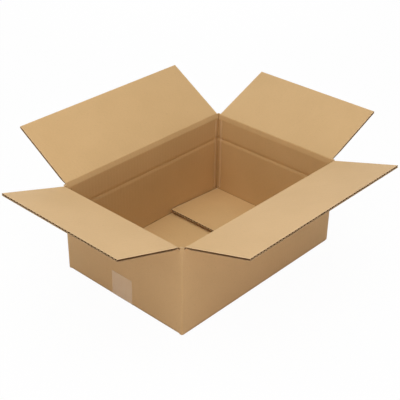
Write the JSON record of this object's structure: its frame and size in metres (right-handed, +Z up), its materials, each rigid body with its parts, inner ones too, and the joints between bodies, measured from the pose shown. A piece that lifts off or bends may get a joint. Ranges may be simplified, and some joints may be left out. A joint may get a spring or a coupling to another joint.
{
  "type": "open cardboard box",
  "caption": "Open slotted carton of corrugated board with hinged top flaps folded outward, a taped bottom and a crease line round the inside.",
  "frame": {"origin": "under the middle of the taped bottom, on the surface that the box stands on", "axes": "+X along the long walls, +Y along the short walls, +Z up"},
  "size_m": [0.6676, 0.5398, 0.2492],
  "materials": {
    "kraft_board": "matte brown kraft liner",
    "packing_tape": "clear tape over brown board, satin"
  },
  "bodies": {
    "box": {"carton": "kraft_board", "bottom_tape": "packing_tape"},
    "front_flap": {"front_flap": "kraft_board"},
    "back_flap": {"back_flap": "kraft_board"},
    "left_flap": {"left_flap": "kraft_board"},
    "right_flap": {"right_flap": "kraft_board"}
  },
  "joints": [
    {"name": "front_flap_fold", "type": "hinge", "parent": "box", "child": "front_flap", "pos_m": [0, -0.1412, 0.1757], "axis": [1, 0, 0], "range_deg": [-163, 67]},
    {"name": "back_flap_fold", "type": "hinge", "parent": "box", "child": "back_flap", "pos_m": [0, 0.1412, 0.1757], "axis": [-1, 0, 0], "range_deg": [-149, 81]},
    {"name": "left_flap_fold", "type": "hinge", "parent": "box", "child": "left_flap", "pos_m": [-0.2033, 0, 0.1735], "axis": [0, -1, 0], "range_deg": [-162.5, 77.5]},
    {"name": "right_flap_fold", "type": "hinge", "parent": "box", "child": "right_flap", "pos_m": [0.2033, 0, 0.1735], "axis": [0, 1, 0], "range_deg": [-157, 83]}
  ]
}
